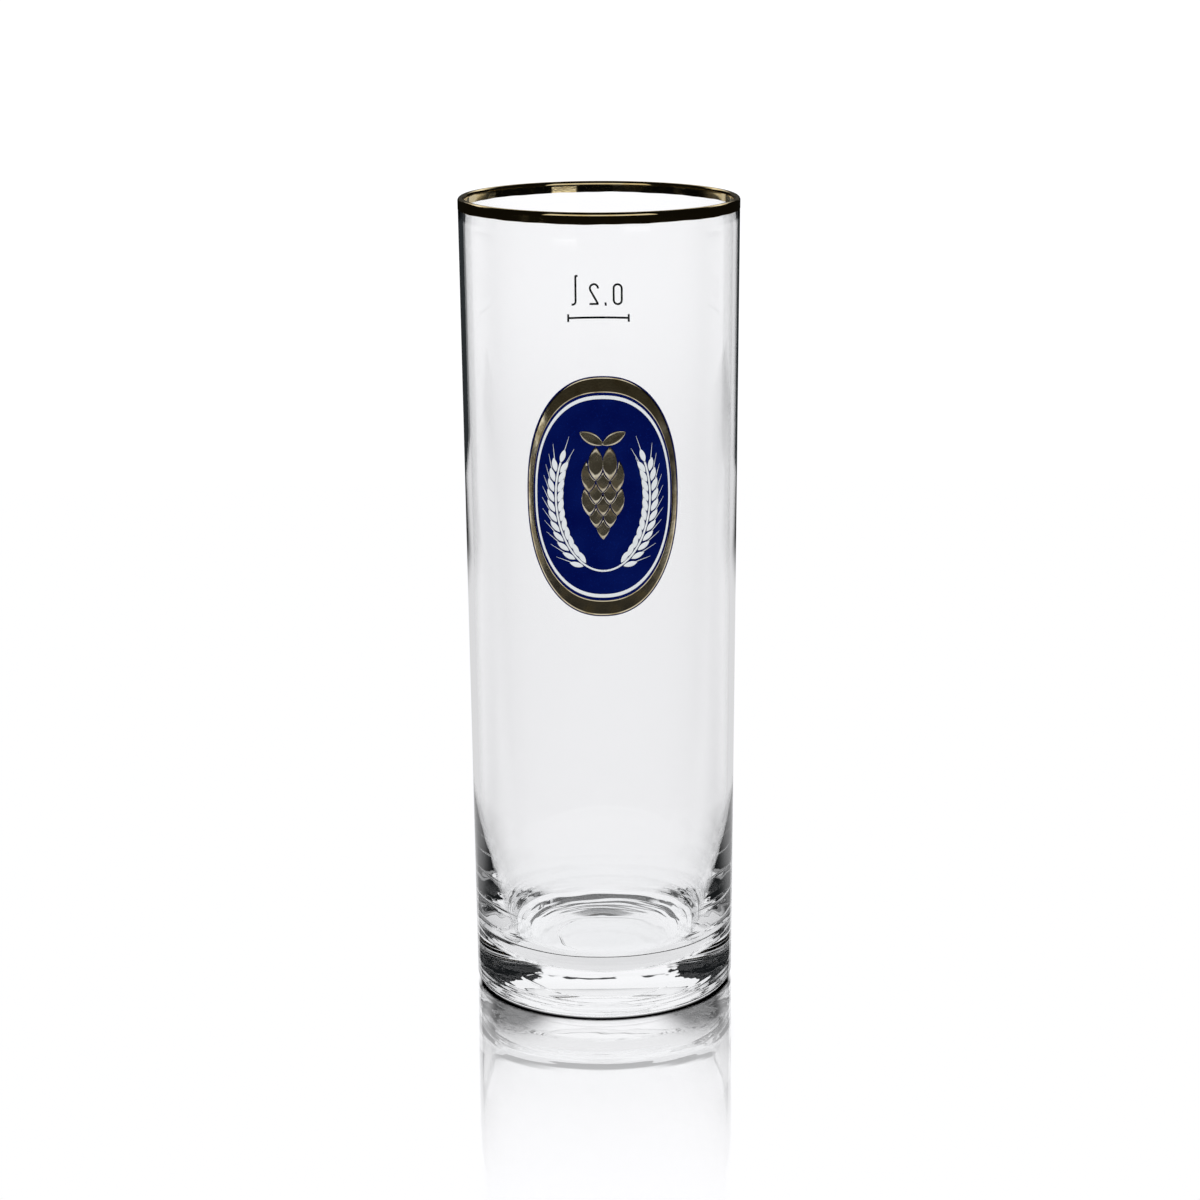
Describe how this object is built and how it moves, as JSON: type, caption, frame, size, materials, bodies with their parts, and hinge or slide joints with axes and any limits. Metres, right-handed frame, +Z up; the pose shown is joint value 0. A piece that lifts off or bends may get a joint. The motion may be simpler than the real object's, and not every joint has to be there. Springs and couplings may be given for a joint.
{
  "type": "beer glass",
  "caption": "Tall straight tapered beer glass (stange) with a heavy clear base, a gilt lip, an oval fired-on label and a fill mark on the far side.",
  "frame": {"origin": "on the axis of the glass, in the plane of the foot ring that it stands on", "axes": "+Z up along the axis of the glass, -Y towards the label, +Y towards the fill mark"},
  "size_m": [0.0514, 0.0514, 0.1501],
  "materials": {
    "clear_glass": "clear, fire-polished, smooth",
    "gilding": "bright fired-on gold, a little worn",
    "blue_enamel": "glossy royal blue enamel",
    "white_enamel": "glossy white enamel",
    "dark_enamel": "dark grey enamel"
  },
  "bodies": {
    "root": {"glass_body": "clear_glass", "gilt_lip": "gilding", "label_ground": "blue_enamel", "label_border": "gilding", "label_line": "white_enamel", "label_barley": "white_enamel", "label_hop": "gilding", "fill_line": "dark_enamel"}
  },
  "joints": []
}
